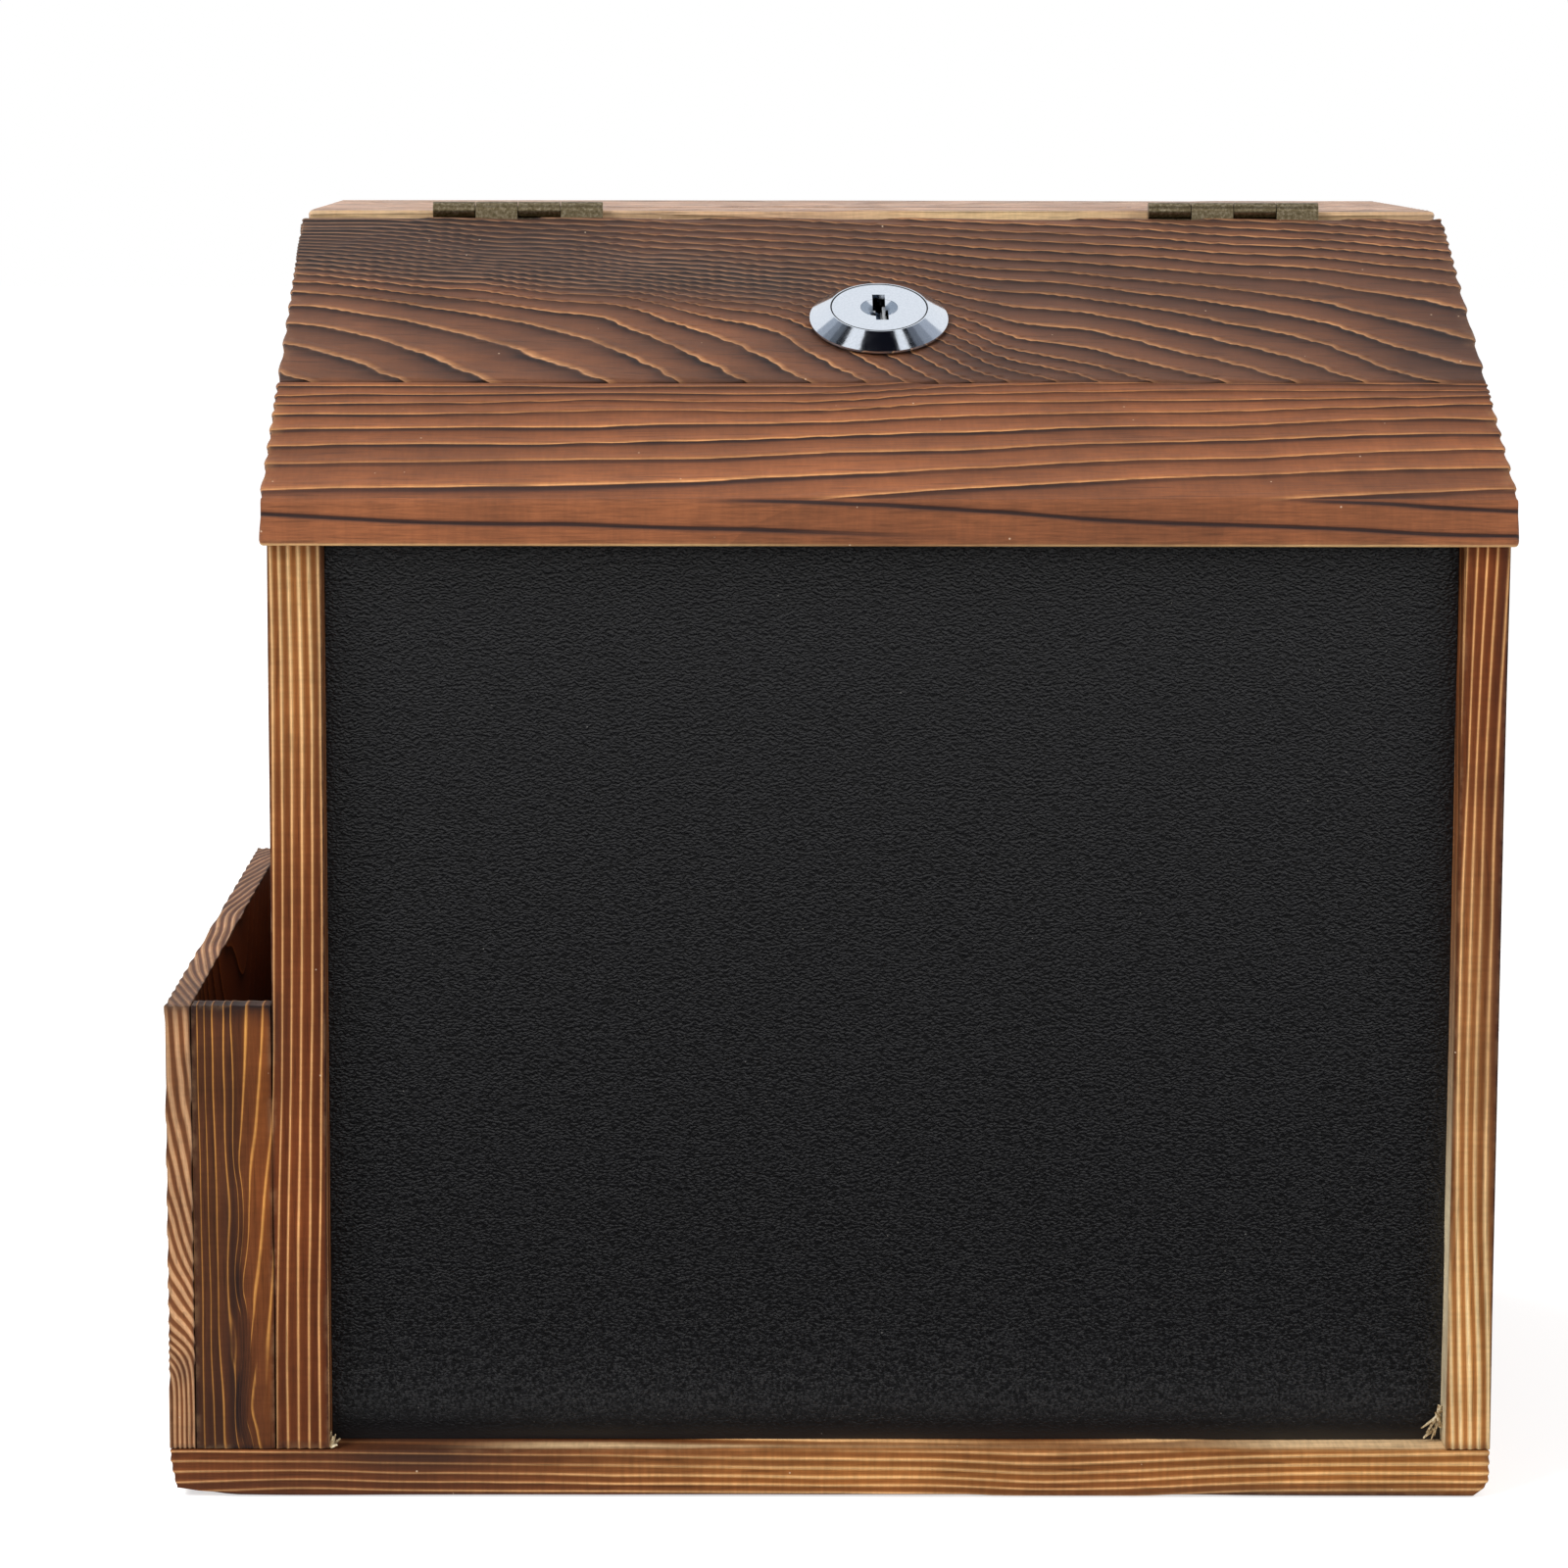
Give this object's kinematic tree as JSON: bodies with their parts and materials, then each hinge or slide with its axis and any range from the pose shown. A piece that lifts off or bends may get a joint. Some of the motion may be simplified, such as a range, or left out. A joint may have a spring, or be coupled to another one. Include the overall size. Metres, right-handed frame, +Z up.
{
  "type": "ballot box",
  "caption": "Wooden ballot box with a sloping hinged lid, cam lock, recessed chalkboard front, slot in its flat top and an open side pocket.",
  "frame": {"origin": "on the table, at the centre of the footprint", "axes": "+Z up, the front with its chalkboard faces -Y, +X to the right seen from the front, the side pocket is at -X"},
  "size_m": [0.2752, 0.209, 0.2648],
  "materials": {
    "base_wood": "brushed and flame-browned pine",
    "side_wood": "brushed and lightly browned pine",
    "pocket_wood": "darkly browned pine",
    "inner_wood": "plain pine",
    "lid_dark_wood": "deeply brushed, flame-browned pine",
    "lid_brown_wood": "brushed, flame-browned pine",
    "chalk_sheet": "fine-grained black writing film",
    "old_brass": "antique brass plate",
    "lock_chrome": "polished",
    "zinc_steel": "zinc plated"
  },
  "bodies": {
    "carcass": {"bottom_board": "base_wood", "left_side_board": "side_wood", "right_side_board": "side_wood", "back_board": "base_wood", "front_board": "inner_wood", "chalkboard": "chalk_sheet", "top_board": "side_wood", "lock_rail": "inner_wood", "pocket_side_board": "base_wood", "pocket_front_board": "pocket_wood", "pocket_back_board": "pocket_wood", "base_screws": "zinc_steel", "left_hinge_top_leaf": "old_brass", "right_hinge_top_leaf": "old_brass", "left_hinge_pin": "old_brass", "right_hinge_pin": "old_brass", "top_leaf_screws": "old_brass"},
    "lid": {"lid_upper_board": "lid_dark_wood", "lid_lower_board": "lid_brown_wood", "left_hinge_lid_leaf": "old_brass", "right_hinge_lid_leaf": "old_brass", "lid_leaf_screws": "old_brass", "lock_trim_ring": "lock_chrome", "lock_housing": "lock_chrome", "lock_washer": "zinc_steel", "lock_nut": "zinc_steel"},
    "lock_plug": {"lock_plug": "lock_chrome", "lock_stop_washer": "zinc_steel", "lock_cam": "zinc_steel", "lock_cam_screw": "zinc_steel"}
  },
  "joints": [
    {"name": "lid_hinge", "type": "hinge", "parent": "carcass", "child": "lid", "pos_m": [0.0104, 0.0076, 0.263], "axis": [-1, 0, 0], "range_deg": [0, 200]},
    {"name": "lock_turn", "type": "hinge", "parent": "lid", "child": "lock_plug", "pos_m": [0.0104, -0.03799, 0.24079], "axis": [0, 0.4384, -0.8988], "range_deg": [0, 90]}
  ]
}
